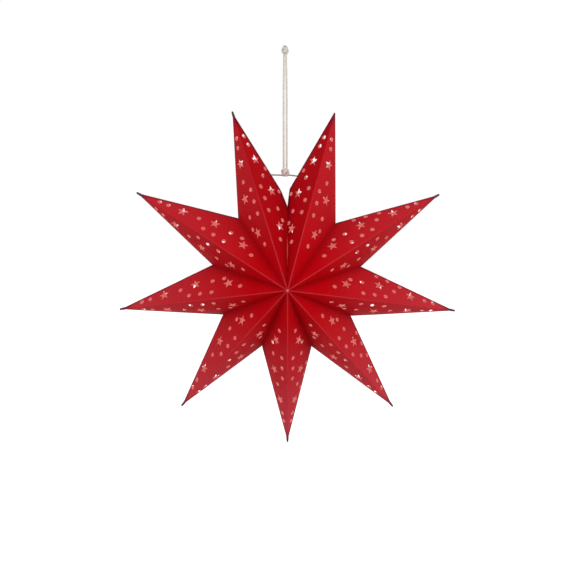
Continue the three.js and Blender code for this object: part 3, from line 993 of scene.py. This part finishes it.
def glued_end(index, sizes, material):
    """The flat glued end of a point: a rounded profile carried outwards, whose coordinates
    are powers of the cosine in depth and of the sine across.

    Its depth follows the ridges while they are further apart than its own depth, which
    narrows evenly to the tip. Its thickness starts thin, is soon full, and narrows to a
    little over half. Its end is rounded by a quarter of an ellipse.
    """
    share = np.linspace(0, 1, 28)
    half = half_of(sizes, index, "left")
    radius = half["tip"] - sizes.beak * (1 - share)
    follow = (half["fold_tip"] - radius) * sizes.half_depth / half["fold_tip"] - BEAK_GAP
    free = sizes.beak_width + (sizes.beak_end_width - sizes.beak_width) * share
    rounding = np.clip((share - BEAK_ROUND_START) / BEAK_ROUND_SPAN, 0, 1)
    rounded_end = np.sqrt(np.clip(1 - rounding ** 2, BEAK_ROUND_LEAST, 1))
    thin_start = np.clip(share / BEAK_THIN_SPAN, BEAK_THIN_START, 1)
    thickness = sizes.first_beak_thickness if index == 0 else sizes.beak_thickness
    half_depth = np.maximum(follow, free / 2) * rounded_end
    half_thick = thickness / 2 * (1 - BEAK_THINNING * share) * rounded_end * thin_start
    turn = full_turn(24)
    deep, across = (np.sign(wave) * np.abs(wave) ** power
                    for wave, power in zip((np.cos(turn), np.sin(turn)), BEAK_POWERS))
    path = np.array(sizes.centre) + radius[:, None] * outwards(POINT_ANGLES[index])
    points, faces, uv = carried(path, DEPTHWAYS, half_thick[:, None] * across,
                                half_depth[:, None] * deep)
    made = mesh_object(f"point_{index + 1}_glued_end", points, faces, uv, [material])
    run_share = uv[:, 1] / (sizes.beak * TUBE_UV)
    mark_points(made, "root_share", BEAK_RED * np.clip(1.0 - run_share * BEAK_RED_FADE, 0, 1))
    close_up(made)
    return made


# Wire, cord and knots


def wire_route(star, wire):
    """The wire's line: straight runs whose corners are rounded by a parabola that leaves
    and rejoins them at the bend radius."""
    centre = np.array(star.centre)
    left_eye, right_eye = (wire_crossing(half_of(star, index, side))
                           for index, side in ((len(POINT_ANGLES) - 1, "right"), (0, "left")))
    knot = np.array([-centre[0], 0.0, wire.knot_height])
    reach, hook = SIDEWAYS * wire.straight, SIDEWAYS * wire.hook_reach
    drop = np.array([0.0, 0.0, wire.hook_drop])
    corners = [left_eye - hook - drop, left_eye - hook, knot - reach, knot + reach,
               right_eye + hook, right_eye + hook - drop]
    step = 0.0008
    t = np.linspace(0, 1, 9)[:, None]
    runs, start = [], corners[0]
    for before, corner, after in zip(corners, corners[1:], corners[2:]):
        into = corner + unit(before - corner) * wire.bend
        out = corner + unit(after - corner) * wire.bend
        bend = (1 - t) ** 2 * into + 2 * t * (1 - t) * corner + t * t * out
        runs += [run_between(start, into, step), bend]
        start = out + unit(after - corner) * step / 2
    runs.append(np.linspace(start, corners[-1], 12))
    return np.vstack(runs) + centre


def strand_route(cord, side_sign):
    """One strand between the knots, through the same places as its solid."""
    run = cord.loop - 2 * cord.face_gap
    places = [(cord.spread, 1.0), (cord.spread, 0.66), (cord.spread, 0.33), (cord.pinch, 0.06),
              (cord.pinch, 0.0)]
    return smooth_route([(side_sign * apart / 2, 0.0, -cord.face_gap - share * run)
                         for apart, share in places], 90)


def knot_surface(cord, box_low, box_high, phase):
    """An overhand knot of two cords side by side, pulled tight round a small core.

    Each cord runs three times round the section of a ring while it goes twice round the
    ring, so it passes over and under the other turns. The ring is stretched upwards to
    give the knot its height, and the two cords lie at either side of that line.
    """
    centre = (box_low + box_high) / 2
    width, height = box_high[0] - box_low[0], box_high[2] - box_low[2]
    radius = cord.knot_turn
    ring = cord.knot_ring * width / KNOT_WIDTH
    wall = width / 2 - ring - radius
    stretch = (height / 2 - radius) / wall
    parts = []
    turn = np.linspace(0, 2 * np.pi, 181)
    for offset in (-KNOT_OFFSET, KNOT_OFFSET):
        around, section = 2 * turn + phase, 3 * turn + offset
        reach = ring + wall * np.cos(section)
        line = np.stack([reach * np.cos(around), reach * np.sin(around),
                         stretch * wall * np.sin(section)], -1)
        core = np.stack([ring * np.cos(around), ring * np.sin(around), 0 * around], -1)
        parts.append(tube(line + centre, line - core, radius, 16, cord.ply_pitch,
                          KNOT_PLY_DIP))
    up = np.linspace(-1, 1, 24)
    core_path = np.stack([0 * up, 0 * up, up * (height / 2 - CORE_SHORTER * radius)], -1)
    core_radius = (ring + CORE_WIDER) * np.sqrt(1 - CORE_TAPER * up * up)
    parts.append(tube(core_path + centre, SIDEWAYS, core_radius, 20))
    return parts


def cut_ends(cord, knot_middle, knot_top, top):
    """The two cut ends above the upper knot, a little apart and the left one the longer."""
    ends = []
    for side_sign, short in zip((-1, 1), CUT_END_SHORT):
        heights = (knot_middle, knot_top, top - short)
        route = smooth_route([(side_sign * apart, 0.0, height)
                              for apart, height in zip(CUT_END_SPREAD, heights)], 12)
        ends.append(tube(route, SIDEWAYS, cord.diameter / 2, 24, cord.ply_pitch, PLY_DIP))
    return ends


def knot_object(name, parts, ends, materials):
    """A knot with the first material, and its cut ends, if it has any, with the second."""
    points, faces, uv = joined(parts + ends)
    made = mesh_object(name, points, faces, uv, materials, CORD_SMOOTH_ANGLE)
    index = np.zeros(len(faces), np.int32)
    index[sum(len(part[1]) for part in parts):] = 1
    made.data.polygons.foreach_set("material_index", index)
    close_up(made)
    return made


# Stage


def seen_plain(tree):
    """One for rays from the camera and for those that a glossy or clear surface sends on."""
    rays = add(tree, "ShaderNodeLightPath", {}).outputs
    glossy = maths(tree, "MAXIMUM", rays["Is Camera Ray"], rays["Is Glossy Ray"])
    return maths(tree, "MAXIMUM", glossy, rays["Is Transmission Ray"])


def pale_floor(studio):
    """A floor that the camera sees near white and that still takes a soft shadow."""
    material, tree, shader = new_material("pale_floor")
    give(tree, shader, {"Base Color": (*studio.floor, 1.0), "Roughness": 1.0,
                        "Specular IOR Level": 0.0})
    glow, nothing = (add(tree, "ShaderNodeEmission", {"Strength": strength}).outputs[0]
                     for strength in (FLOOR_GLOW, 0.0))
    choice = add(tree, "ShaderNodeMixShader", {"Fac": seen_plain(tree), 1: nothing, 2: glow})
    total = add(tree, "ShaderNodeAddShader", {0: choice.outputs[0], 1: shader.outputs[0]})
    give(tree, tree.nodes["Material Output"], {"Surface": total.outputs[0]})
    return material


def pale_world(scene, strength):
    """Even light all round; the camera and reflections see plain white."""
    world = bpy.data.worlds.new("studio")
    scene.world = world
    world.use_nodes = True
    tree = world.node_tree
    even = tree.nodes["Background"]
    give(tree, even, {"Color": WARM_WHITE, "Strength": strength})
    white = add(tree, "ShaderNodeBackground", {"Color": (1.0, 1.0, 1.0, 1.0)})
    choice = add(tree, "ShaderNodeMixShader",
                 {"Fac": seen_plain(tree), 1: even.outputs[0], 2: white.outputs[0]})
    give(tree, tree.nodes["World Output"], {"Surface": choice.outputs[0]})


def soft_box(name, centre, place, size, power):
    """A square area lamp that faces the star."""
    data = bpy.data.lights.new(name, "AREA")
    data.energy = power
    data.size = size
    lamp = bpy.data.objects.new(name, data)
    bpy.context.scene.collection.objects.link(lamp)
    lamp.location = place
    way = np.array(centre) - np.array(place)
    lamp.rotation_euler = (math.atan2(math.hypot(way[0], way[1]), -way[2]), 0.0,
                           math.atan2(way[1], way[0]) - math.pi / 2)


# Operators


class LANTERN_OT_stage(bpy.types.Operator):
    """Camera, lamps, floor and background"""

    bl_idname = "lantern.stage"
    bl_label = "Stage"

    def execute(self, context):
        scene = context.scene
        studio, centre = scene.lantern_studio, scene.lantern_star.centre
        scene.view_settings.view_transform = "Standard"
        data = bpy.data.cameras.new("camera")
        camera = bpy.data.objects.new("camera", data)
        scene.collection.objects.link(camera)
        scene.camera = camera
        data.sensor_width = 36.0
        data.lens = studio.focal
        data.shift_x, data.shift_y = studio.shift
        data.clip_end = 50.0
        back = (0.0, -math.cos(studio.tilt) * studio.distance,
                math.sin(studio.tilt) * studio.distance)
        camera.location = [c + b for c, b in zip(centre, back)]
        camera.rotation_euler = (math.pi / 2 - studio.tilt, 0.0, 0.0)
        pale_world(scene, studio.ambient)
        for name, place, size, power in LAMPS:
            soft_box(name, centre, place, size, power)
        corners = np.array([[-1, -1], [1, -1], [1, 1], [-1, 1]]) * FLOOR_HALF
        points = np.column_stack([corners, np.full(4, -studio.floor_drop)])
        floor = mesh_object("floor", points, np.array([[0, 1, 2, 3]]), corners / FLOOR_HALF,
                            [pale_floor(studio)])
        return {"FINISHED"}


class LANTERN_OT_cord(bpy.types.Operator):
    """Two strands of twisted cotton between two tight knots"""

    bl_idname = "lantern.cord"
    bl_label = "Cord and knots"

    def execute(self, context):
        scene = context.scene
        cord, finish = scene.lantern_cord, scene.lantern_finish
        strand_finish, knot_finish, upper_finish, cut_finish = (
            cotton(name, tuple(tint)) for name, tint in (
                ("cotton_cord", finish.cotton), ("cotton_knot", finish.knot),
                ("cotton_upper_knot", finish.upper_knot), ("cotton_cut", finish.cut_cotton)))
        low, high = (np.array(corner) for corner in UPPER_KNOT_BOX)
        knot_high = high - np.array([0.0, 0.0, cord.cut_end])
        parts = knot_surface(cord, low, knot_high, 0.6)
        ends = cut_ends(cord, (low[2] + knot_high[2]) / 2, knot_high[2], high[2])
        upper = knot_object("upper_knot_tied", parts, ends, [upper_finish, cut_finish])
        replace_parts(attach(upper, "hanging_cord"), "upper_knot")
        low, high = (np.array(corner) for corner in LOWER_KNOT_BOX)
        lower = knot_object("lower_knot_tied", knot_surface(cord, low, high, 0.2), [],
                            [knot_finish])
        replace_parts(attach(lower, "cord_knot"), "lower_knot")
        for name, side_sign in (("left", -1), ("right", 1)):
            route = strand_route(cord, side_sign)
            points, faces, uv = tube(route, SIDEWAYS, cord.diameter / 2, 24, cord.ply_pitch,
                                     PLY_DIP)
            strand = mesh_object(f"strand_{name}", points, faces, uv, [strand_finish],
                                 CORD_SMOOTH_ANGLE)
            close_up(strand)
            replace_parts(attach(strand, "hanging_cord"), f"cord_strand_{name}")
        return {"FINISHED"}


class LANTERN_OT_points(bpy.types.Operator):
    """Nine folded and punched points with their glued ends"""

    bl_idname = "lantern.points"
    bl_label = "Card points"

    def execute(self, context):
        scene = context.scene
        sizes, wire, finish = scene.lantern_star, scene.lantern_wire, scene.lantern_finish
        materials = [red_card(finish), card_inside(finish), cut_edge(finish)]
        pressed = glued_card(finish)
        for index, angle in enumerate(POINT_ANGLES):
            body = f"point_{index + 1}"
            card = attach(folded_point(index, sizes, wire, materials), body)
            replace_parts(card, *(f"{body}_{face}_{side}" for face in ("front", "back")
                                for side in ("left", "right")))
            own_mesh(card)
            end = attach(glued_end(index, sizes, pressed), body)
            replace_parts(end, f"{body}_beak")
        return {"FINISHED"}


class LANTERN_OT_wire(bpy.types.Operator):
    """Bent hanger wire across the open seam"""

    bl_idname = "lantern.wire"
    bl_label = "Hanger wire"

    def execute(self, context):
        scene = context.scene
        sizes = scene.lantern_wire
        route = wire_route(scene.lantern_star, sizes)
        points, faces, uv = tube(route, DEPTHWAYS, sizes.diameter / 2, 16)
        wire = mesh_object("hanger_wire_bent", points, faces, uv,
                           [hanger_steel(scene.lantern_finish)])
        close_up(wire)
        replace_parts(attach(wire, "point_1"), "hanger_wire")
        return {"FINISHED"}


class LANTERN_PT_panel(bpy.types.Panel):
    """Sizes, colours and steps of the lantern"""

    bl_idname = "LANTERN_PT_panel"
    bl_label = "Paper Star Lantern"
    bl_space_type = "VIEW_3D"
    bl_region_type = "UI"
    bl_category = "Paper Star"

    def draw(self, context):
        for name, group in SETTINGS.items():
            box = self.layout.box()
            box.label(text=name.removeprefix("lantern_").capitalize())
            for size in group.__annotations__:
                box.prop(getattr(context.scene, name), size)
        for operator in STEPS:
            self.layout.operator(operator.bl_idname)


SETTINGS = {"lantern_star": StarSizes, "lantern_wire": WireSizes, "lantern_cord": CordSizes,
            "lantern_finish": Finishes, "lantern_studio": StudioSizes}
STEPS = (LANTERN_OT_stage, LANTERN_OT_cord, LANTERN_OT_points, LANTERN_OT_wire)
CLASSES = (*SETTINGS.values(), *STEPS, LANTERN_PT_panel)


def register():
    for each in CLASSES:
        bpy.utils.register_class(each)
    for name, group in SETTINGS.items():
        setattr(bpy.types.Scene, name, PointerProperty(type=group))


def unregister():
    for name in SETTINGS:
        delattr(bpy.types.Scene, name)
    for each in reversed(CLASSES):
        bpy.utils.unregister_class(each)


def main():
    register()
    bpy.ops.lantern.stage()
    bpy.ops.lantern.cord()
    bpy.ops.lantern.points()
    bpy.ops.lantern.wire()


if __name__ == "__main__":
    main()
